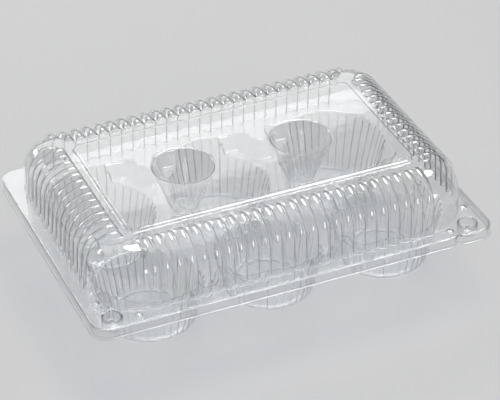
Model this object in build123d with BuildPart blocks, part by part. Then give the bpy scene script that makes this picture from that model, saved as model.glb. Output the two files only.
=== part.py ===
"""Clear muffin container: a tray of fluted cups under a ribbed dome lid on a moulded hinge."""
import os
from math import atan2, cos, degrees, pi, radians, sin

from build123d import *

# Sheet and rim shared by both halves
sheet = 0.5
rim_length = 255.0
rim_width = 175.0
rim_corner_radius = 10.0
closing_gap = 0.2
skirt_gap = 0.3
hinge_edge_gap = 0.15
overrun = 1.0

# Tray
tray_height = 37.0
tray_skirt_drop = 5.5
cup_columns = 3
cup_rows = 2
cup_pitch_x = 77.0
cup_pitch_y = 76.4
cup_mouth_radius = 35.0
cup_draft = 11.5
cup_flutes = 36
flute_depth = 1.1
recess_depth = 12.0
recess_inset = 4.4
lobe_reach = 14.0
lobe_width = 15.0
lobe_root_share = 0.77

# Lid
lid_skirt_drop = 7.0
wall_length = 240.8
wall_width = 158.8
wall_corner_radius = 28.4
wall_corner_facets = 6
wall_draft = 0.8
ledge_height = 33.0
shoulder_radius = 18.0
shoulder_chords = 3
rib_depth = 2.4
rib_crest_share = 0.44
rib_run = 24.3
rib_end_margin = 1.0
long_ribs = 24
short_ribs = 14
panel_length = 182.0
panel_width = 93.0
panel_corner_radius = 4.0
panel_rise = 2.5
panel_slope = 1.6
funnel_top_radius = 19.3
funnel_foot_radius = 8.5
funnel_depth = 29.4
funnel_facets = 40

# Snap buttons and pips in the two front rim corners
button_x = 114.2
button_y = -76.0
button_radius = 5.6
button_depth = 5.5
button_gap = 0.25
pip_spacing = 14.4
pip_shift = 4.6
pip_radius = 2.4
pip_rise = 1.0
pip_facets = 12

# Heights that follow
tray_rim_inset = sheet + skirt_gap
lid_rim_base = tray_height + closing_gap
lid_rim_top = lid_rim_base + sheet
ledge_top = lid_rim_top + ledge_height
panel_top = ledge_top + panel_rise
hanging = (Align.CENTER, Align.CENTER, Align.MAX)
standing = (Align.CENTER, Align.CENTER, Align.MIN)


def rim_outline(inset):
    """Rounded rim plan, set in on three sides and ending at the hinge edge behind."""
    front = -rim_width / 2 + inset
    back = rim_width / 2 - hinge_edge_gap
    with BuildSketch() as plan:
        with Locations((0, (front + back) / 2)):
            RectangleRounded(rim_length - 2 * inset, back - front, rim_corner_radius - inset)
    return plan.sketch


def rim_with_skirt(inset, top, drop):
    """Flat rim plate with a skirt turned down along the front and the two ends."""
    with BuildPart() as rim:
        with BuildSketch(Plane.XY.offset(top)):
            add(rim_outline(inset))
        extrude(amount=-sheet)
        with BuildSketch(Plane.XY.offset(top)):
            add(rim_outline(inset))
            add(rim_outline(inset + sheet), mode=Mode.SUBTRACT)
        extrude(amount=-drop)
        with Locations((0, rim_width / 2, top - sheet)):
            Box(rim_length + overrun, 2 * rim_corner_radius, drop, align=hanging, mode=Mode.SUBTRACT)
    return rim.part


def flute_ring(radius):
    """Points of a closed ring that alternates between flute crests and hollows."""
    turn = pi / cup_flutes
    radii = [radius, radius - flute_depth]
    return [(radii[k % 2] * cos(k * turn), radii[k % 2] * sin(k * turn)) for k in range(2 * cup_flutes)]


def cup_body(skin):
    """One fluted cup, drawn in toward its floor and grown outward by the skin thickness."""
    depth = tray_height - sheet
    mouth = Plane.XY.offset(tray_height)
    with BuildPart() as cup:
        with BuildSketch(mouth):
            Polygon(*flute_ring(cup_mouth_radius + skin), align=None)
        extrude(amount=-depth - skin)
        sides = cup.faces().filter_by(GeomType.PLANE).filter_by(Axis.Z, reverse=True)
        draft(sides, neutral_plane=mouth, angle=-cup_draft)
    return cup.part


def recess_body(skin):
    """Shallow well over all the cups, with round lobes left standing between them."""
    corner = cup_mouth_radius - recess_inset
    length = (cup_columns - 1) * cup_pitch_x + 2 * corner
    width = (cup_rows - 1) * cup_pitch_y + 2 * corner
    with BuildPart() as recess:
        with BuildSketch(Plane.XY.offset(tray_height)) as plan:
            RectangleRounded(length, width, corner)
            before = plan.vertices()
            with GridLocations(cup_pitch_x, width, cup_columns - 1, 2):
                SlotOverall(2 * lobe_reach, lobe_width, rotation=90, mode=Mode.SUBTRACT)
            with GridLocations(length, cup_pitch_y, 2, cup_rows - 1):
                SlotOverall(2 * lobe_reach, lobe_width, mode=Mode.SUBTRACT)
            edges = [v for v in plan.vertices() if on_outline(v, length, width)]
            root_radius = lobe_root_share * (lobe_reach - lobe_width / 2)
            fillet([v for v in edges if v not in before], root_radius)
            if skin > 0:
                offset(amount=skin)
        extrude(amount=-recess_depth - skin)
    return recess.part


def on_outline(corner, length, width):
    """True for a point on one of the straight edges of the well."""
    return abs(abs(corner.Y) - width / 2) < sheet or abs(abs(corner.X) - length / 2) < sheet


def wall_line():
    """Valley line of the lid's wall from rim to ledge, as inset and height."""
    centre_inset = rib_depth + wall_draft + shoulder_radius
    centre_height = ledge_height - shoulder_radius
    foot_inset = rib_depth - wall_draft * sheet / 2 / centre_height
    points = [(foot_inset, -sheet / 2)]
    for k in range(shoulder_chords + 1):
        turn = radians(90 * k / shoulder_chords)
        inset = centre_inset - shoulder_radius * cos(turn)
        points.append((inset, centre_height + shoulder_radius * sin(turn)))
    points.append((rib_run, ledge_height))
    return points


def wall_plane(place, reach):
    """Upright plane across a wall that stands a reach in front of the origin."""
    return Plane((place, -reach, lid_rim_top), x_dir=(0, 1, 0), z_dir=(1, 0, 0))


def rib_stations(count, half_run):
    """Places along a wall and the lift of the sheet at each: valley, crest, crest and so on."""
    pitch = 2 * (half_run - rib_end_margin) / count
    crest = pitch * rib_crest_share / 2
    stations = [(-half_run, 0)]
    for k in range(count):
        centre = (k - (count - 1) / 2) * pitch
        stations.append((centre - pitch / 2, 0))
        stations.append((centre - crest, rib_depth))
        stations.append((centre + crest, rib_depth))
    stations.append((count * pitch / 2, 0))
    stations.append((half_run, 0))
    return stations


def ribbed_wall(count, half_run, reach):
    """Wall along X: a corrugated profile swept up from the rim, over the shoulder and onto the ledge."""
    stations = rib_stations(count, half_run)
    outside = [(place, -lift) for place, lift in stations]
    inside = [(place, sheet - lift) for place, lift in stations]
    with BuildPart() as wall:
        with BuildLine(wall_plane(0, reach)) as rise:
            Polyline(*wall_line())
        with BuildSketch(Plane(rise.line @ 0, x_dir=(1, 0, 0), z_dir=rise.line % 0)):
            Polygon(*outside, *inside[::-1], align=None)
        sweep(path=rise.line, transition=Transition.RIGHT)
        with BuildSketch(Plane(rise.line @ 1, x_dir=(1, 0, 0), z_dir=rise.line % 1)):
            Polygon(*outside, (half_run, sheet), (-half_run, sheet), align=None)
        extrude(amount=-sheet)
    return wall.part


def wall_corner(half_long, half_short):
    """Plain quarter turn between two ribbed walls at the front left, in flat facets like the shoulder."""
    step = 90 / wall_corner_facets
    valley_radius = wall_corner_radius - rib_depth
    reach = valley_radius / cos(radians(step / 2))
    turns = [-90 - step / 2 - step * k for k in range(wall_corner_facets)]
    bends = [(reach * cos(radians(turn)), reach * sin(radians(turn))) for turn in turns]
    with BuildPart() as corner:
        with BuildLine(Plane((-half_long, -half_short, lid_rim_top))) as bend:
            Polyline((0, -valley_radius), *bends, (-valley_radius, 0))
        with BuildSketch(wall_plane(-half_long, wall_width / 2)):
            with BuildLine():
                Polyline(*wall_line())
                offset(amount=sheet, side=Side.RIGHT, kind=Kind.INTERSECTION, closed=True)
            make_face()
        sweep(path=bend.line, transition=Transition.RIGHT)
    return corner.part


def rib_mouths(half_long, half_short):
    """Plan of the opening in the lid's rim, following every rib along the inner skin."""
    sides = [
        (long_ribs, half_long, wall_width / 2, 0),
        (short_ribs, half_short, wall_length / 2, 90),
    ]
    with BuildSketch() as plan:
        for count, half_run, reach, turn in sides:
            stations = rib_stations(count, half_run)
            edge = [(place, rib_depth - lift + sheet - reach) for place, lift in stations]
            opposite = [(-across, -along) for across, along in edge]
            Polygon(*(edge + opposite), align=None, rotation=turn)
        with GridLocations(2 * half_long, 2 * half_short, 2, 2):
            RegularPolygon(
                wall_corner_radius - rib_depth - sheet,
                4 * wall_corner_facets,
                major_radius=False,
                rotation=45 / wall_corner_facets,
            )
    return plan.sketch


def funnel_body(skin):
    """One funnel hanging from the panel, drawn in toward its foot and shrunk by the skin thickness."""
    depth = funnel_depth - skin
    lean = degrees(atan2(funnel_top_radius - funnel_foot_radius, depth))
    mouth = Plane.XY.offset(panel_top)
    with BuildPart() as funnel:
        with BuildSketch(mouth):
            RegularPolygon(funnel_top_radius - skin, funnel_facets)
        extrude(amount=-depth)
        sides = funnel.faces().filter_by(Axis.Z, reverse=True)
        draft(sides, neutral_plane=mouth, angle=-lean)
    return funnel.part


def pip_body(skin):
    """One round pip standing on the underside of the rim, shrunk by the skin thickness."""
    with BuildPart() as pip:
        with BuildSketch():
            RegularPolygon(pip_radius - skin, pip_facets)
        extrude(amount=pip_rise + sheet - skin)
    return pip.part


cup_skin = cup_body(sheet)
cup_hollow = cup_body(0)
cup_places = GridLocations(cup_pitch_x, cup_pitch_y, cup_columns, cup_rows)
button_places = [(button_x, button_y), (-button_x, button_y)]

with BuildPart() as base_tray:
    add(rim_with_skirt(tray_rim_inset, tray_height, tray_skirt_drop))
    add(recess_body(sheet), clean=False)
    with cup_places:
        add(cup_skin, clean=False)
    with Locations(*[(x, y, tray_height) for x, y in button_places]):
        Cylinder(button_radius + button_gap + sheet, button_depth + button_gap + sheet, align=hanging)
        Cylinder(button_radius + button_gap, button_depth + button_gap, align=hanging, mode=Mode.SUBTRACT)
    add(recess_body(0), clean=False, mode=Mode.SUBTRACT)
    with cup_places:
        add(cup_hollow, mode=Mode.SUBTRACT)
base_tray.part.label = "base_tray"

half_long = wall_length / 2 - wall_corner_radius
half_short = wall_width / 2 - wall_corner_radius
long_wall = ribbed_wall(long_ribs, half_long, wall_width / 2)
short_wall = ribbed_wall(short_ribs, half_short, wall_length / 2)
corner = wall_corner(half_long, half_short)

with BuildPart() as lid:
    add(rim_with_skirt(0, lid_rim_top, lid_skirt_drop))
    with BuildSketch(Plane.XY.offset(lid_rim_top)):
        add(rib_mouths(half_long, half_short))
    extrude(amount=-sheet, mode=Mode.SUBTRACT)
    with BuildSketch(Plane.XY.offset(ledge_top)):
        plate_inset = rib_run - sheet
        RectangleRounded(
            wall_length - 2 * plate_inset, wall_width - 2 * plate_inset, wall_corner_radius - plate_inset
        )
    extrude(amount=-sheet)
    for skin, mode in ((0, Mode.ADD), (sheet, Mode.SUBTRACT)):
        with BuildSketch(Plane.XY.offset(ledge_top - skin)):
            RectangleRounded(
                panel_length + 2 * panel_slope - 2 * skin,
                panel_width + 2 * panel_slope - 2 * skin,
                panel_corner_radius + panel_slope - skin,
            )
        with BuildSketch(Plane.XY.offset(panel_top - skin)):
            RectangleRounded(panel_length - 2 * skin, panel_width - 2 * skin, panel_corner_radius - skin)
        loft(ruled=True, mode=mode)
    with GridLocations(cup_pitch_x, cup_pitch_y, cup_columns - 1, cup_rows - 1):
        add(funnel_body(0))
        add(funnel_body(sheet), mode=Mode.SUBTRACT)
    with Locations(*[(x, y, lid_rim_top) for x, y in button_places]):
        Cylinder(button_radius, button_depth, align=hanging)
        Cylinder(button_radius - sheet, button_depth - sheet, align=hanging, mode=Mode.SUBTRACT)
    for side in (1, -1):
        beside = (side * (button_x - pip_spacing), button_y - pip_shift)
        behind = (side * (button_x + pip_shift), button_y + pip_spacing)
        with Locations(*[(x, y, lid_rim_base) for x, y in (beside, behind)]):
            add(pip_body(0))
            add(pip_body(sheet), mode=Mode.SUBTRACT)
    add([long_wall, long_wall.rotate(Axis.Z, 180)], clean=False)
    add([short_wall.rotate(Axis.Z, 90), short_wall.rotate(Axis.Z, -90)], clean=False)
    add([corner, corner.rotate(Axis.Z, 180), corner.mirror(Plane.YZ), corner.mirror(Plane.XZ)])
lid.part.label = "lid"

os.makedirs("parts", exist_ok=True)
export_step(base_tray.part, "parts/base_tray.step")
export_step(lid.part, "parts/lid.step")
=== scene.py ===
"""Looks of the clear muffin container: smooth formed sheets that stand for the two packed halves."""
from math import atan2, ceil, copysign, cos, pi, radians, sin, tan

import bmesh
import bpy
import numpy as np
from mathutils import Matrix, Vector
from mathutils.geometry import delaunay_2d_cdt

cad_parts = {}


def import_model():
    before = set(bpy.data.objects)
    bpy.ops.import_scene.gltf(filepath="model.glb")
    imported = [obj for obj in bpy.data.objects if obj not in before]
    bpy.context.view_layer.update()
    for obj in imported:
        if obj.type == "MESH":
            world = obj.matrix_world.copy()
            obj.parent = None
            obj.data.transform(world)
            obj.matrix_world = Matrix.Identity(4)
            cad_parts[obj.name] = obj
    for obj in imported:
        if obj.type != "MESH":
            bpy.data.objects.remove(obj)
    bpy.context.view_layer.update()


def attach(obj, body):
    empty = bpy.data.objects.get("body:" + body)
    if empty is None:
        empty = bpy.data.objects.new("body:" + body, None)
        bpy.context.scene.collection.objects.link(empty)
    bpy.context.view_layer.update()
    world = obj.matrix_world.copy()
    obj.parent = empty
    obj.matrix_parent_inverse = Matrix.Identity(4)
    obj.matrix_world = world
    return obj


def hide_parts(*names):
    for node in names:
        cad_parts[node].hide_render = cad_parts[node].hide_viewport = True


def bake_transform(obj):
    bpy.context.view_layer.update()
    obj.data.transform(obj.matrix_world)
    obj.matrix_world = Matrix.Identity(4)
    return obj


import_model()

MM = 0.001

# Sheet and rims
SHEET = 0.5 * MM
SHEET_LIMIT = 0.8 * MM
RIM_LENGTH = 255.0 * MM
RIM_WIDTH = 175.0 * MM
RIM_CORNER = 10.0 * MM
RIM_EDGE = 0.9 * MM
SKIRT_GAP = 0.3 * MM
HINGE_EDGE_GAP = 0.15 * MM
TRAY_TOP = 37.0 * MM
TRAY_SKIRT = 5.5 * MM
LID_RIM_TOP = 37.7 * MM
LID_SKIRT = 7.0 * MM

# Rolled lip of the lid's skirt, as steps out and up from its edge in widths of the lip
SKIRT_LIP = 0.6 * MM
SKIRT_LIP_LINE = ((0, 2), (0.3, 1), (1, 0.3), (1.2, 0))

# Dent in the front skirts near the right corner
CRIMP_X = 103.0 * MM
CRIMP_WIDTH = 2.0 * MM
CRIMP_DEPTH = 1.7 * MM
FRONT_TOLERANCE = 0.01 * MM

# Cups
CUP_COLUMNS = 3
CUP_ROWS = 2
CUP_PITCH_X = 77.0 * MM
CUP_PITCH_Y = 76.4 * MM
CUP_MOUTH = 35.0 * MM
CUP_FLOOR = 27.0 * MM
CUP_LIP = 1.2 * MM
CUP_HEEL = 1.8 * MM
CUP_HEEL_FLAT = 0.4 * MM
CUP_PUNT = 0.5 * MM
CUP_PUNT_RADIUS = 23.5 * MM
CUP_PUNT_SLOPE = 1.2 * MM
FLUTES = 36
FLUTE_DEPTH = 1.1 * MM
FLUTE_FULLNESS = 0.8

# Well round the cups
WELL_DEPTH = 12.0 * MM
WELL_CORNER = 30.6 * MM
WELL_SLOPE = 5.0 * MM
LOBE_REACH = 14.0 * MM
LOBE_WIDTH = 15.0 * MM
LOBE_ROOT = 5.0 * MM
LOBE_ROUNDNESS = 0.999

# Lid walls
WALL_LENGTH = 240.8 * MM
WALL_WIDTH = 158.8 * MM
WALL_CORNER = 28.4 * MM
BACK_WALL_CORNER = 16.0 * MM
BACK_LEDGE_CORNER = 6.0 * MM
BACK_CORNER_FADE = 6.0 * MM
WALL_DRAFT = 0.8 * MM
WALL_FOOT = 1.0 * MM
LEDGE = 33.0 * MM
SHOULDER = 18.0 * MM
RIB_DEPTH = 2.4 * MM
RIB_RUN = 24.3 * MM
RIB_END = 3.2 * MM
RIB_FULLNESS = 0.8
LONG_PITCH = 182.0 / 24 * MM
SHORT_PITCH = 100.0 / 14 * MM
FRONT_RIBS_EACH_WAY = 12
BACK_RIBS_EACH_WAY = 13.5
SIDE_RIBS_TO_FRONT = 7
SIDE_RIBS_TO_BACK = 8

# Walls from the front round: half run, reach, pitch, ribs before and after the middle, back corners met
WALLS = (
    (WALL_LENGTH / 2, WALL_WIDTH / 2, LONG_PITCH, FRONT_RIBS_EACH_WAY, FRONT_RIBS_EACH_WAY, False, False),
    (WALL_WIDTH / 2, WALL_LENGTH / 2, SHORT_PITCH, SIDE_RIBS_TO_FRONT, SIDE_RIBS_TO_BACK, False, True),
    (WALL_LENGTH / 2, WALL_WIDTH / 2, LONG_PITCH, BACK_RIBS_EACH_WAY, BACK_RIBS_EACH_WAY, True, True),
    (WALL_WIDTH / 2, WALL_LENGTH / 2, SHORT_PITCH, SIDE_RIBS_TO_BACK, SIDE_RIBS_TO_FRONT, True, False),
)

# Raised panel and its two funnels
PANEL_LENGTH = 182.0 * MM
PANEL_WIDTH = 93.0 * MM
PANEL_CORNER = 4.0 * MM
PANEL_RISE = 2.5 * MM
PANEL_SLOPE = 2.2 * MM
FUNNEL_TOP = 18.8 * MM
FUNNEL_FOOT = 8.0 * MM
FUNNEL_DEPTH = 28.9 * MM
FUNNEL_EDGE = 1.4 * MM

# Snap buttons and pips in the front rim corners
BUTTON_X = 114.2 * MM
BUTTON_Y = -76.0 * MM
BUTTON_RADIUS = 5.1 * MM
BUTTON_DEPTH = 5.0 * MM
BUTTON_EDGE = 0.6 * MM
SOCKET_RADIUS = 5.85 * MM
SOCKET_DEPTH = 5.75 * MM
PIP_SPACING = 14.4 * MM
PIP_SHIFT = 4.6 * MM
PIP_RADIUS = 2.4 * MM
PIP_RISE = 1.0 * MM
PIP_FOOT = 0.3 * MM
PIP_FOOT_RISE = 0.08
PIP_TURN = 80

# Rise in a button's floor, as shares of its radius and rises in widths of its rounded edge
BUTTON_FLOOR_RINGS = ((0.55, 0), (0.4, 1), (0.2, 1.4))

# Hinge fold along the back
HINGE_Y = 87.5 * MM
HINGE_Z = 37.1 * MM
HINGE_HALF_LENGTH = 112.0 * MM
HINGE_BULGE = 0.5 * MM
HINGE_TUCK = 0.6 * MM
HINGE_SHEET = 0.24 * MM

# Meshing
ARC_STEP = 0.9 * MM
RUN_STEP = 4.0 * MM
RIM_STEP = 1.2 * MM
WELD = 0.002 * MM
PLAN_TOLERANCE = WELD / 10
TURN_TOLERANCE = 1e-9
SHARP_ANGLE = 50
RING = 64
SMALL_RING = 32
EDGE_STEPS = 4
CORNER_STEPS = 24
SHOULDER_STEPS = 14
RIB_END_STEPS = 7
RIB_SAMPLES = 12
WALL_SHARES = (0.3, 0.65)
PANEL_STEPS = 8
FUNNEL_STEPS = 6
PIP_STEPS = 5
WELL_LEVELS = 10
FLUTE_SAMPLES = 8
CUP_BEND_STEPS = 5
CUP_WALL_SHARES = (0.25, 0.5, 0.75)
CUP_PUNT_STEPS = 3
CUP_EDGE_HALVINGS = 40
FOLD_STEPS = 12
FOLD_STATIONS = 29

# Colours
LID_TINT = (0.985, 0.99, 0.992)
TRAY_TINT = (0.982, 0.988, 0.99)
FOLD_TINT = (0.98, 0.985, 0.99)
SHADOW_TINT = (0.96, 0.965, 0.97)
FLOOR_COLOUR = (0.6, 0.6, 0.605)
STUDIO_COLOUR = (0.09, 0.092, 0.095)

# Floor, light and camera
FLOOR_SIZE = 8
FLOOR_DROP = 0.2 * MM
FLOOR_ROUGHNESS = 0.55
SUN_POWER = 2.4
SUN_SPREAD = 30
SUN_WAY = (-0.3, -0.42, -0.86)
LAMP_TARGET = (0, 0, 0.05)
CAMERA_SENSOR = 36
CAMERA_LENS = 154.6
CAMERA_TARGET = (3.9, -2.27, 37.7)
CAMERA_AZIMUTH = -23.86
CAMERA_ELEVATION = 34.84
CAMERA_DISTANCE = 1309 * MM
LIGHT_BOUNCES = 32

# Oval lamps: name, place, width, height and power
LAMPS = (
    ("back", (0.1, 1.5, 0.8), 2.0, 0.7, 4.5),
    ("front", (0.45, -1.2, 0.45), 0.6, 0.42, 5.0),
    ("side", (-0.9, 1.15, 0.55), 0.5, 0.34, 3.4),
)


class Sheet:
    """Points and faces of one formed sheet, gathered patch by patch and welded at the end."""

    def __init__(self):
        self.points = []
        self.faces = []

    def add(self, points, faces):
        """Take in points and the faces between them."""
        base = len(self.points)
        self.points.extend(tuple(p) for p in points)
        self.faces.extend([base + i for i in face] for face in faces)

    def grid(self, rows, closed=True):
        """Quads between rows of equally many points."""
        count = len(rows[0])
        faces = []
        for r in range(len(rows) - 1):
            here, above = r * count, (r + 1) * count
            for k in range(count if closed else count - 1):
                after = (k + 1) % count
                faces.append((here + k, here + after, above + after, above + k))
        self.add(np.concatenate(rows), faces)

    def patch(self, loops, height, keep):
        """Triangles between closed loops in plan, kept where keep says and lifted by height."""
        flat, triangles = triangulate(loops)
        triangles = triangles[keep(flat[triangles].mean(axis=1))]
        self.add(np.column_stack((flat, height(flat))), triangles)
        return flat, triangles

    def turned(self, places, profile, count=RING):
        """Rings round an upright axis at each place, closed by a flat face; gives the holes they fill."""
        ring = circle((0, 0), 1, count)
        for place in places:
            rows = []
            for radius, z in profile:
                rows.append(np.column_stack((np.array(place) + ring * radius, np.full(count, z))))
            self.grid(rows)
            self.add(rows[-1], [range(count)])
        return [circle(place, profile[0][0], count) for place in places]

    def welded(self):
        """One working mesh, joined where patches meet, with all faces turned the same way."""
        work = bmesh.new()
        made = [work.verts.new(p) for p in self.points]
        for face in self.faces:
            work.faces.new([made[i] for i in face])
        bmesh.ops.remove_doubles(work, verts=work.verts, dist=WELD)
        bmesh.ops.dissolve_degenerate(work, edges=work.edges, dist=WELD)
        bmesh.ops.recalc_face_normals(work, faces=work.faces)
        return work

    def build(self, name):
        """A mesh object of this sheet, with its thickness under the shown skin."""
        work = self.welded()
        if sum(f.normal.z * f.calc_area() for f in work.faces) < 0:
            bmesh.ops.reverse_faces(work, faces=work.faces)
        obj = mesh_object(name, work)
        thick = obj.modifiers.new("sheet", "SOLIDIFY")
        thick.thickness = SHEET
        thick.offset = -1
        thick.use_even_offset = True
        depsgraph = bpy.context.evaluated_depsgraph_get()
        obj.data = bpy.data.meshes.new_from_object(obj.evaluated_get(depsgraph))
        obj.modifiers.clear()
        hold_thickness(obj.data)
        shade(obj.data)
        obj.modifiers.new("flats", "WEIGHTED_NORMAL").keep_sharp = True
        return obj


def linked(name, data):
    """A new object in the scene."""
    obj = bpy.data.objects.new(name, data)
    bpy.context.scene.collection.objects.link(obj)
    return obj


def mesh_object(name, work):
    """A new object from a working mesh."""
    mesh = bpy.data.meshes.new(name)
    work.to_mesh(mesh)
    work.free()
    return linked(name, mesh)


def shade(mesh):
    """Smooth shading with crisp folds."""
    mesh.shade_smooth()
    mesh.set_sharp_from_angle(angle=radians(SHARP_ANGLE))


def hold_thickness(mesh):
    """Draw back each inner point that runs out too far from its outer point at a tight fold."""
    places = np.empty(len(mesh.vertices) * 3, dtype=np.float32)
    mesh.vertices.foreach_get("co", places)
    outer, inner = np.split(places.reshape(-1, 3), 2)
    shift = inner - outer
    length = np.linalg.norm(shift, axis=1, keepdims=True)
    inner[:] = outer + shift * np.minimum(1, SHEET_LIMIT / np.maximum(length, WELD))
    mesh.vertices.foreach_set("co", places)
    mesh.update()


def quarter(steps):
    """Turns from 0 to 90 degrees in equal steps."""
    return [radians(90 * k / steps) for k in range(steps + 1)]


def smooth(t):
    """A soft step from 0 to 1."""
    t = np.clip(t, 0, 1)
    return t * t * (3 - 2 * t)


def level(z):
    """A height that is the same everywhere."""
    return lambda points: np.full(len(points), z)


def circle(centre, radius, count=RING):
    """Points of a circle in plan."""
    turn = np.arange(count) * 2 * pi / count
    return np.array(centre) + radius * np.column_stack((np.cos(turn), np.sin(turn)))


def rectangle(x0, x1, y0, y1, radius):
    """Corners of a rounded rectangle, anticlockwise."""
    return [(x0, y0, radius), (x1, y0, radius), (x1, y1, radius), (x0, y1, radius)]


def side_ways(k):
    """Directions along and in from one of four sides, anticlockwise from the front."""
    along = np.array((round(cos(k * pi / 2)), round(sin(k * pi / 2))))
    return along, np.array((-along[1], along[0]))


def rounded_loop(corners, run_step=RUN_STEP):
    """Points and outward normals of an anticlockwise outline, from corners as x, y and radius."""
    points, normals = [], []
    for k, (x, y, radius) in enumerate(corners):
        here = np.array((x, y))
        come = here - np.array(corners[k - 1][:2])
        go = np.array(corners[(k + 1) % len(corners)][:2]) - here
        come /= np.linalg.norm(come)
        go /= np.linalg.norm(go)
        turn = atan2(come[0] * go[1] - come[1] * go[0], come @ go)
        side = copysign(1, turn)
        outward = np.array((come[1], -come[0]))
        centre = here - come * radius * tan(abs(turn) / 2) - side * outward * radius
        steps = max(2, ceil(abs(turn) * radius / ARC_STEP))
        for j in range(steps + 1):
            bend = turn * j / steps
            normal = np.array((
                outward[0] * cos(bend) - outward[1] * sin(bend),
                outward[0] * sin(bend) + outward[1] * cos(bend),
            ))
            points.append(centre + side * normal * radius)
            normals.append(normal)
    return spread(np.array(points), np.array(normals), run_step)


def spread(points, normals, run_step):
    """The same outline with its long straight runs divided."""
    out_points, out_normals = [], []
    for k in range(len(points)):
        run = points[(k + 1) % len(points)] - points[k]
        steps = max(1, ceil(np.linalg.norm(run) / run_step))
        for j in range(steps):
            out_points.append(points[k] + run * j / steps)
            out_normals.append(normals[k])
    return np.array(out_points), np.array(out_normals)


def distinct(loop):
    """A closed loop without the points that repeat the one before."""
    return loop[np.linalg.norm(loop - np.roll(loop, 1, axis=0), axis=1) > WELD]


def inside(loop, points):
    """True for each point in plan that lies inside a closed loop."""
    x, y = points[:, 0][:, None], points[:, 1][:, None]
    ax, ay = loop[:, 0][None, :], loop[:, 1][None, :]
    bx, by = np.roll(loop[:, 0], -1)[None, :], np.roll(loop[:, 1], -1)[None, :]
    crossing = (ay > y) != (by > y)
    rise = np.where(by == ay, 1, by - ay)
    return (crossing & (x < ax + (y - ay) * (bx - ax) / rise)).sum(axis=1) % 2 == 1


def between(outer, holes):
    """A test that keeps what lies inside the outer loop and outside every hole."""

    def keep(points):
        kept = inside(outer, points)
        for hole in holes:
            kept &= ~inside(hole, points)
        return kept

    return keep


def triangulate(loops):
    """Plan points and triangles of the closed loops and all between them."""
    points, edges = [], []
    for loop in loops:
        base = len(points)
        points.extend(Vector(p) for p in loop)
        edges.extend((base + k, base + (k + 1) % len(loop)) for k in range(len(loop)))
    flat, _, triangles, *_ = delaunay_2d_cdt(points, edges, [], 0, PLAN_TOLERANCE, False)
    return np.array([tuple(p) for p in flat]), np.array([list(t) for t in triangles])


def rim_loop(inset):
    """Rim outline in plan, set in on three sides, with its normals."""
    side = RIM_LENGTH / 2 - inset
    front = -RIM_WIDTH / 2 + inset
    back = RIM_WIDTH / 2 - HINGE_EDGE_GAP
    return rounded_loop(rectangle(-side, side, front, back, RIM_CORNER - inset), RIM_STEP)


def rim_edge(sheet, outline, normals, top, drop, lip):
    """Rounded edge and skirt along the front and the ends, with a plain flat edge behind."""
    count = len(outline)
    skirted = outline[:, 1] <= RIM_WIDTH / 2 - RIM_CORNER
    first = next(k for k in range(count) if skirted[k] and not skirted[k - 1])
    order = np.roll(np.arange(count), -first)
    front, behind = order[:skirted.sum()], np.append(order[skirted.sum() - 1:], order[0])
    near_front = outline[front, 1] < FRONT_TOLERANCE - RIM_WIDTH / 2 + SHEET + SKIRT_GAP
    crimp = CRIMP_DEPTH * np.exp(-(((outline[front, 0] - CRIMP_X) / CRIMP_WIDTH) ** 2)) * near_front
    profile = []
    for turn in quarter(EDGE_STEPS):
        profile.append((RIM_EDGE * (1 - sin(turn)), RIM_EDGE * (1 - cos(turn))))
    profile.append((0, drop / 2))
    for out, up in SKIRT_LIP_LINE:
        profile.append((-out * lip, drop - up * lip))
    rows = []
    for inset, fall in profile:
        inward = inset + crimp * min(1, fall / RIM_EDGE)
        edge = outline[front] - normals[front] * inward[:, None]
        rows.append(np.column_stack((edge, np.full(len(front), top - fall))))
    sheet.grid(rows, closed=False)
    rows = []
    for inset in (RIM_EDGE, 0):
        edge = outline[behind] - normals[behind] * inset
        rows.append(np.column_stack((edge, np.full(len(behind), top))))
    sheet.grid(rows, closed=False)
    return outline - normals * RIM_EDGE


def button_profile(radius, depth, top):
    """Radius and height down a snap button with rounded edges and a small rise in its floor."""
    floor_z = top - depth
    profile = []
    for turn in quarter(EDGE_STEPS):
        profile.append((radius + BUTTON_EDGE * (1 - sin(turn)), top - BUTTON_EDGE * (1 - cos(turn))))
    for turn in quarter(EDGE_STEPS):
        profile.append((radius - BUTTON_EDGE * (1 - cos(turn)), floor_z + BUTTON_EDGE * (1 - sin(turn))))
    for share, rise in BUTTON_FLOOR_RINGS:
        profile.append((radius * share, floor_z + BUTTON_EDGE * rise))
    return profile


def pip_profile():
    """Radius and height over a small round pip."""
    profile = [(PIP_RADIUS + PIP_FOOT, LID_RIM_TOP)]
    for k in range(PIP_STEPS + 1):
        turn = radians(PIP_TURN * k / PIP_STEPS)
        rise = PIP_FOOT_RISE + (1 - PIP_FOOT_RISE) * sin(turn)
        profile.append((PIP_RADIUS * cos(turn), LID_RIM_TOP + PIP_RISE * rise))
    return profile


def funnel_profile(top):
    """Radius and height down a funnel with a rounded mouth and a rounded floor."""
    floor_z = top - FUNNEL_DEPTH
    bend = pi / 2 - atan2(FUNNEL_TOP - FUNNEL_FOOT, FUNNEL_DEPTH)
    turns = [k / FUNNEL_STEPS * bend for k in range(FUNNEL_STEPS + 1)]
    profile = []
    for turn in turns:
        spare = FUNNEL_EDGE * (tan(bend / 2) - sin(turn))
        profile.append((FUNNEL_TOP + spare, top - FUNNEL_EDGE * (1 - cos(turn))))
    for turn in reversed(turns):
        spare = FUNNEL_EDGE * (tan(bend / 2) - sin(turn))
        profile.append((FUNNEL_FOOT - spare, floor_z + FUNNEL_EDGE * (1 - cos(turn))))
    return profile


def button_places():
    """Middles of the two snap buttons."""
    return [(side * BUTTON_X, BUTTON_Y) for side in (-1, 1)]


def pip_places():
    """Middles of the four pips beside the buttons."""
    places = []
    for side in (-1, 1):
        places.append((side * (BUTTON_X - PIP_SPACING), BUTTON_Y - PIP_SHIFT))
        places.append((side * (BUTTON_X + PIP_SHIFT), BUTTON_Y + PIP_SPACING))
    return places


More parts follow.
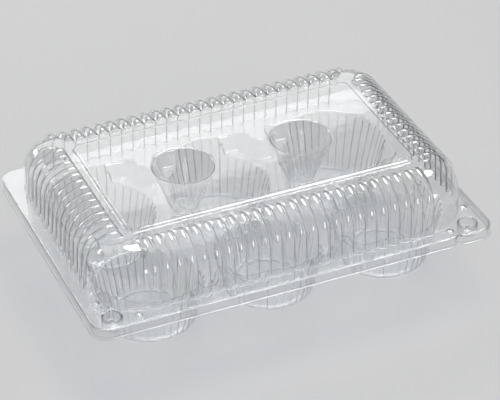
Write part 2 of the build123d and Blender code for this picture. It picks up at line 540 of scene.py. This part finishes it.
def funnel_places():
    """Middles of the two funnels, each among four cups."""
    return [(side * CUP_PITCH_X / 2, 0) for side in (-1, 1)]


def cup_places():
    """Middles of the six cups."""
    places = []
    for r in range(CUP_ROWS):
        for c in range(CUP_COLUMNS):
            x = (c - (CUP_COLUMNS - 1) / 2) * CUP_PITCH_X
            y = (r - (CUP_ROWS - 1) / 2) * CUP_PITCH_Y
            places.append((x, y))
    return places


def corner_radius(behind, inset):
    """Plan radius of a lid corner at an inset: broad and round in front, a narrow mitre behind."""
    if not behind:
        return WALL_CORNER - inset
    fade = np.exp((RIB_DEPTH - inset) / BACK_CORNER_FADE)
    return BACK_LEDGE_CORNER + (BACK_WALL_CORNER - BACK_LEDGE_CORNER) * fade


def wall_row(inset, height, out, up):
    """One row of points round the lid, anticlockwise from the front left, its ribs raised out and up."""
    row = []
    for k, (half_run, reach, pitch, before, after, starts_behind, ends_behind) in enumerate(WALLS):
        along, inner = side_ways(k)
        radius = corner_radius(ends_behind, inset)
        first = inset + corner_radius(starts_behind, inset) - half_run
        last = half_run - inset - radius
        steps = np.arange((before + after) * RIB_SAMPLES + 1)
        places = np.append(first, (steps / RIB_SAMPLES - before) * pitch).clip(first, last)
        lifts = np.append(0, RIB_DEPTH * np.abs(np.sin(pi * steps / RIB_SAMPLES)) ** RIB_FULLNESS)
        if starts_behind:
            lifts = lifts * smooth((places - first) / RIB_END)
        if ends_behind:
            lifts = lifts * smooth((last - places) / RIB_END)
        plan = np.outer(places, along) - np.outer(reach - inset + out * lifts, inner)
        row.append(np.column_stack((plan, height + up * lifts)))
        turn = np.arange(CORNER_STEPS) / CORNER_STEPS * pi / 2
        way = np.outer(np.cos(turn), inner) - np.outer(np.sin(turn), along)
        plan = along * last - inner * (reach - inset - radius) - way * radius
        row.append(np.column_stack((plan, np.full(CORNER_STEPS, height))))
    return np.concatenate(row)


def wall_rows():
    """Rows of points up the lid's wall, over the shoulder and onto the ledge."""
    middle = RIB_DEPTH + WALL_DRAFT + SHOULDER
    spring = LEDGE - SHOULDER
    profile = []
    for turn in quarter(EDGE_STEPS):
        profile.append((RIB_DEPTH - WALL_FOOT * (1 - sin(turn)), WALL_FOOT * (1 - cos(turn)), 1, 0))
    for share in WALL_SHARES:
        profile.append((RIB_DEPTH + WALL_DRAFT * share, WALL_FOOT + (spring - WALL_FOOT) * share, 1, 0))
    for turn in quarter(SHOULDER_STEPS):
        profile.append((middle - SHOULDER * cos(turn), spring + SHOULDER * sin(turn), cos(turn), sin(turn)))
    for turn in quarter(RIB_END_STEPS)[1:]:
        profile.append((RIB_RUN - RIB_END * (1 - sin(turn)), LEDGE, 0, cos(turn)))
    return [wall_row(inset, LID_RIM_TOP + height, out, up) for inset, height, out, up in profile]


def panel_rows(ledge_top):
    """Rows of points up the slope round the raised panel."""
    length, width = PANEL_LENGTH / 2, PANEL_WIDTH / 2
    panel, way = rounded_loop(rectangle(-length, length, -width, width, PANEL_CORNER))
    rows = []
    for k in range(PANEL_STEPS + 1):
        share = k / PANEL_STEPS
        ring = panel + way * PANEL_SLOPE * (1 - share)
        rows.append(np.column_stack((ring, np.full(len(ring), ledge_top + PANEL_RISE * smooth(share)))))
    return rows


def lid_sheet():
    """Top skin of the lid."""
    sheet = Sheet()
    ledge_top = LID_RIM_TOP + LEDGE
    panel_top = ledge_top + PANEL_RISE
    outline, normals = rim_loop(0)
    edge = rim_edge(sheet, outline, normals, LID_RIM_TOP, LID_SKIRT, SKIRT_LIP)
    wall = wall_rows()
    sheet.grid(wall)
    foot, ledge = wall[0][:, :2], distinct(wall[-1][:, :2])
    button = button_profile(BUTTON_RADIUS, BUTTON_DEPTH, LID_RIM_TOP)
    holes = sheet.turned(button_places(), button, SMALL_RING)
    holes += sheet.turned(pip_places(), pip_profile(), SMALL_RING)
    sheet.patch([edge, foot, *holes], level(LID_RIM_TOP), between(edge, [foot, *holes]))
    slope = panel_rows(ledge_top)
    sheet.grid(slope)
    panel_foot, panel = slope[0][:, :2], slope[-1][:, :2]
    sheet.patch([ledge, panel_foot], level(ledge_top), between(ledge, [panel_foot]))
    mouths = sheet.turned(funnel_places(), funnel_profile(panel_top))
    sheet.patch([panel, *mouths], level(panel_top), between(panel, mouths))
    return sheet.build("lid_shell")


def well_corners():
    """Corners of the well outline, with a round lobe standing between each two cups."""
    x = (CUP_COLUMNS - 1) * CUP_PITCH_X / 2 + WELL_CORNER
    y = (CUP_ROWS - 1) * CUP_PITCH_Y / 2 + WELL_CORNER
    half = LOBE_WIDTH / 2
    sides = [
        [(k * CUP_PITCH_X, -y) for k in (-0.5, 0.5)],
        [(x, 0)],
        [(k * CUP_PITCH_X, y) for k in (0.5, -0.5)],
        [(-x, 0)],
    ]
    ends = [(x, -y), (x, y), (-x, y), (-x, -y)]
    corners = []
    for k, (lobes, end) in enumerate(zip(sides, ends)):
        along, inner = side_ways(k)
        for lobe in lobes:
            before, after = lobe - along * half, lobe + along * half
            corners.append((*before, LOBE_ROOT))
            corners.append((*(before + inner * LOBE_REACH), half * LOBE_ROUNDNESS))
            corners.append((*(after + inner * LOBE_REACH), half * LOBE_ROUNDNESS))
            corners.append((*after, LOBE_ROOT))
        corners.append((*end, WELL_CORNER))
    return corners


def well_depth_at(points):
    """Distance in from the well outline for each point in plan, negative on the rim."""
    x = (CUP_COLUMNS - 1) * CUP_PITCH_X / 2
    y = (CUP_ROWS - 1) * CUP_PITCH_Y / 2
    px, py = np.abs(points[:, 0]), np.abs(points[:, 1])
    over = np.column_stack((px - x, py - y))
    outer = np.linalg.norm(np.maximum(over, 0), axis=1) + np.minimum(over.max(axis=1), 0) - WELL_CORNER
    half = LOBE_WIDTH / 2
    stem_y = np.maximum((y + WELL_CORNER - LOBE_REACH + half) - py, 0)
    stem_x = np.maximum((x + WELL_CORNER - LOBE_REACH + half) - px, 0)
    lobe_y = half - np.hypot(px - CUP_PITCH_X / 2, stem_y)
    lobe_x = half - np.hypot(py, stem_x)
    lobe = np.maximum(lobe_x, lobe_y)
    both = np.column_stack((outer + LOBE_ROOT, lobe + LOBE_ROOT))
    rounded = np.minimum(both.max(axis=1), 0) + np.linalg.norm(np.maximum(both, 0), axis=1) - LOBE_ROOT
    return -rounded


def well_height(points):
    """Height of the tray's sheet in plan, without its cups."""
    share = smooth(well_depth_at(points) / WELL_SLOPE + 0.5)
    return TRAY_TOP - WELL_DEPTH * share


def cup_radius(turn, z):
    """Radius of a cup's fluted wall at a height."""
    radius = CUP_FLOOR + (CUP_MOUTH - CUP_FLOOR) * (z - SHEET) / (TRAY_TOP - SHEET)
    hollow = 1 - np.abs(np.cos(FLUTES * turn / 2)) ** FLUTE_FULLNESS
    return radius - FLUTE_DEPTH * radius / CUP_MOUTH * hollow


def cup_edge(centre, turn):
    """Radius at which a cup's lip meets the sheet above it, for each turn."""
    way = np.column_stack((np.cos(turn), np.sin(turn)))
    low = np.full(len(turn), TRAY_TOP - WELL_DEPTH)
    high = np.full(len(turn), TRAY_TOP)
    for _ in range(CUP_EDGE_HALVINGS):
        z = (low + high) / 2
        radius = cup_radius(turn, z) + CUP_LIP
        above = well_height(np.array(centre) + way * radius[:, None]) > z
        low = np.where(above, z, low)
        high = np.where(above, high, z)
    return cup_radius(turn, high) + CUP_LIP


def cup_mouth(centre):
    """Plan loop round a cup where its lip meets the sheet."""
    samples = FLUTES * FLUTE_SAMPLES
    turn = np.arange(samples) * 2 * pi / samples
    ring = np.column_stack((np.cos(turn), np.sin(turn)))
    return np.array(centre) + ring * cup_edge(centre, turn)[:, None]


def mouth_points(flat, triangles, centre, mouth):
    """The points of the sheet that lie round one cup's mouth, in order."""
    used = np.unique(triangles)
    offset = flat[used] - np.array(centre)
    turn = np.arctan2(offset[:, 1], offset[:, 0])
    loop = mouth - np.array(centre)
    loop_turn = np.arctan2(loop[:, 1], loop[:, 0])
    rank = np.argsort(loop_turn)
    loop = loop[rank]
    place = np.searchsorted(loop_turn[rank], turn - TURN_TOLERANCE) % len(loop)
    start = loop[place - 1]
    run = loop[place] - start
    off = np.abs(run[:, 0] * (offset[:, 1] - start[:, 1]) - run[:, 1] * (offset[:, 0] - start[:, 0]))
    near = off / np.linalg.norm(run, axis=1) < 2 * WELD
    chosen = used[near][np.argsort(turn[near])]
    return np.column_stack((flat[chosen], well_height(flat[chosen])))


def cup_wall(sheet, centre, mouth):
    """One fluted cup, from the points round its mouth down to the low rise in its floor."""
    flat = mouth[:, :2] - np.array(centre)
    turn = np.arctan2(flat[:, 1], flat[:, 0])
    way = np.column_stack((np.cos(turn), np.sin(turn)))
    top = mouth[:, 2]
    spare = np.linalg.norm(flat, axis=1) - cup_radius(turn, top) - CUP_LIP
    profile = []
    for bend in quarter(CUP_BEND_STEPS):
        z = top - CUP_LIP * (1 - cos(bend))
        profile.append((cup_radius(turn, z) + (CUP_LIP + spare) * (1 - sin(bend)), z))
    for share in CUP_WALL_SHARES:
        z = top - CUP_LIP + (SHEET + CUP_HEEL - top + CUP_LIP) * share
        profile.append((cup_radius(turn, z), z))
    for bend in quarter(CUP_BEND_STEPS):
        z = SHEET + CUP_HEEL * (1 - sin(bend))
        profile.append((cup_radius(turn, z) - CUP_HEEL * (1 - cos(bend)), z))
    profile.append((CUP_FLOOR - FLUTE_DEPTH - CUP_HEEL - CUP_HEEL_FLAT, SHEET))
    for k in range(CUP_PUNT_STEPS + 1):
        share = k / CUP_PUNT_STEPS
        profile.append((CUP_PUNT_RADIUS - CUP_PUNT_SLOPE * share, SHEET + CUP_PUNT * smooth(share)))
    rows = []
    for radius, z in profile:
        plan = np.array(centre) + way * np.reshape(radius, (-1, 1))
        rows.append(np.column_stack((plan, np.broadcast_to(z, len(turn)))))
    sheet.grid(rows)
    sheet.add(rows[-1], [range(len(turn))])


def tray_sheet():
    """Upper skin of the tray."""
    sheet = Sheet()
    outline, normals = rim_loop(SHEET + SKIRT_GAP)
    edge = rim_edge(sheet, outline, normals, TRAY_TOP, TRAY_SKIRT, 0)
    socket = button_profile(SOCKET_RADIUS, SOCKET_DEPTH, TRAY_TOP)
    sockets = sheet.turned(button_places(), socket, SMALL_RING)
    well, way = rounded_loop(well_corners())
    steps = [WELL_SLOPE * (k / (WELL_LEVELS - 1) - 0.5) for k in range(WELL_LEVELS)]
    levels = [well - way * step for step in steps]
    centres = cup_places()
    mouths = [cup_mouth(centre) for centre in centres]
    loops = [edge, *levels, *mouths, *sockets]
    flat, triangles = sheet.patch(loops, well_height, between(edge, mouths + sockets))
    for centre, mouth in zip(centres, mouths):
        cup_wall(sheet, centre, mouth_points(flat, triangles, centre, mouth))
    return sheet.build("tray_shell")


def hinge_fold():
    """Thin fold that joins the two rims behind, from the tray's rim round to the lid's."""
    half = (LID_RIM_TOP - TRAY_TOP) / 2
    line = [(-HINGE_TUCK, -half)]
    for k in range(FOLD_STEPS + 1):
        turn = radians(-90 + 180 * k / FOLD_STEPS)
        line.append((HINGE_BULGE * cos(turn), half * sin(turn)))
    line.append((-HINGE_TUCK, half))
    line = np.array(line)
    slope = np.gradient(line, axis=0)
    normal = np.column_stack((slope[:, 1], -slope[:, 0])) / np.linalg.norm(slope, axis=1)[:, None]
    section = np.concatenate((line + normal * HINGE_SHEET / 2, (line - normal * HINGE_SHEET / 2)[::-1]))
    count = len(section)
    rows = []
    for x in np.linspace(-HINGE_HALF_LENGTH, HINGE_HALF_LENGTH, FOLD_STATIONS):
        rows.append(np.column_stack((np.full(count, x), HINGE_Y + section[:, 0], HINGE_Z + section[:, 1])))
    sheet = Sheet()
    sheet.grid(rows)
    end_faces = [(k, k + 1, count - 2 - k, count - 1 - k) for k in range(count // 2 - 1)]
    for row in (rows[0], rows[-1]):
        sheet.add(row, end_faces)
    obj = mesh_object("hinge_fold", sheet.welded())
    shade(obj.data)
    return obj


def set_inputs(node, values):
    """Set inputs of a shader node by name."""
    for name, value in values.items():
        node.inputs[name].default_value = value


def clear_plastic(name, tint):
    """Clear formed sheet: glass-like, with faint waves, haze and rub marks in its gloss."""
    material = bpy.data.materials.new(name)
    material.use_nodes = True
    nodes, links = material.node_tree.nodes, material.node_tree.links
    shader = nodes["Principled BSDF"]
    set_inputs(shader, {"Base Color": (*tint, 1), "Transmission Weight": 0.97, "IOR": 1.57})
    place = nodes.new("ShaderNodeTexCoord")
    waves = nodes.new("ShaderNodeTexNoise")
    set_inputs(waves, {"Scale": 45, "Detail": 2})
    links.new(place.outputs["Object"], waves.inputs["Vector"])
    bump = nodes.new("ShaderNodeBump")
    set_inputs(bump, {"Strength": 0.02, "Distance": 0.002})
    links.new(waves.outputs["Fac"], bump.inputs["Height"])
    links.new(bump.outputs["Normal"], shader.inputs["Normal"])
    rubs = nodes.new("ShaderNodeTexNoise")
    set_inputs(rubs, {"Scale": 260, "Detail": 6})
    links.new(place.outputs["Object"], rubs.inputs["Vector"])
    gloss = nodes.new("ShaderNodeMapRange")
    set_inputs(gloss, {"From Min": 0.35, "From Max": 0.75, "To Min": 0.02, "To Max": 0.07})
    links.new(rubs.outputs["Fac"], gloss.inputs["Value"])
    links.new(gloss.outputs["Result"], shader.inputs["Roughness"])
    clear = nodes.new("ShaderNodeBsdfTransparent")
    set_inputs(clear, {"Color": (*SHADOW_TINT, 1)})
    path = nodes.new("ShaderNodeLightPath")
    mix = nodes.new("ShaderNodeMixShader")
    links.new(path.outputs["Is Shadow Ray"], mix.inputs["Fac"])
    links.new(shader.outputs["BSDF"], mix.inputs[1])
    links.new(clear.outputs["BSDF"], mix.inputs[2])
    links.new(mix.outputs["Shader"], nodes["Material Output"].inputs["Surface"])
    return material


def floor():
    """Plain pale floor."""
    bpy.ops.mesh.primitive_plane_add(size=FLOOR_SIZE, location=(0, 0, -FLOOR_DROP))
    ground = bpy.context.object
    ground.name = "floor"
    material = bpy.data.materials.new("pale_floor")
    material.use_nodes = True
    shader = material.node_tree.nodes["Principled BSDF"]
    set_inputs(shader, {"Base Color": (*FLOOR_COLOUR, 1), "Roughness": FLOOR_ROUGHNESS})
    ground.data.materials.append(material)


def aim(way):
    """Rotation that points a lamp or a camera along a way."""
    return Vector(way).to_track_quat("-Z", "Y")


def lamp(name, place, width, height, power):
    """Soft oval lamp turned to the container."""
    light = bpy.data.lights.new(name, "AREA")
    light.shape = "ELLIPSE"
    light.size = width
    light.size_y = height
    light.energy = power
    obj = linked(name, light)
    obj.location = place
    obj.rotation_euler = aim(Vector(LAMP_TARGET) - Vector(place)).to_euler()


def overhead():
    """Even soft light from above, a little from behind."""
    light = bpy.data.lights.new("overhead", "SUN")
    light.energy = SUN_POWER
    light.angle = radians(SUN_SPREAD)
    linked("overhead", light).rotation_euler = aim(SUN_WAY).to_euler()


def camera():
    """Camera at the photograph's angle."""
    data = bpy.data.cameras.new("camera")
    data.sensor_width = CAMERA_SENSOR
    data.lens = CAMERA_LENS
    azimuth, elevation = radians(CAMERA_AZIMUTH), radians(CAMERA_ELEVATION)
    back = Vector((sin(azimuth) * cos(elevation), -cos(azimuth) * cos(elevation), sin(elevation)))
    obj = linked("camera", data)
    obj.location = Vector(CAMERA_TARGET) * MM + back * CAMERA_DISTANCE
    obj.rotation_mode = "QUATERNION"
    obj.rotation_quaternion = aim(-back)
    bpy.context.scene.camera = obj


def world():
    """Even studio surround."""
    made = bpy.data.worlds.new("studio")
    made.use_nodes = True
    set_inputs(made.node_tree.nodes["Background"], {"Color": (*STUDIO_COLOUR, 1), "Strength": 1})
    bpy.context.scene.world = made


lid = lid_sheet()
tray = tray_sheet()
fold = hinge_fold()
lid.data.materials.append(clear_plastic("clear_lid", LID_TINT))
tray.data.materials.append(clear_plastic("clear_tray", TRAY_TINT))
fold.data.materials.append(clear_plastic("clear_fold", FOLD_TINT))
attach(lid, "lid")
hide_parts("lid")
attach(tray, "tray")
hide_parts("base_tray")
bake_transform(fold)

floor()
overhead()
for name, place, width, height, power in LAMPS:
    lamp(name, place, width, height, power)
camera()
world()
scene = bpy.context.scene
scene.view_settings.view_transform = "Standard"
scene.cycles.max_bounces = LIGHT_BOUNCES
scene.cycles.transmission_bounces = LIGHT_BOUNCES
scene.cycles.transparent_max_bounces = LIGHT_BOUNCES
scene.cycles.caustics_refractive = False
scene.cycles.caustics_reflective = False
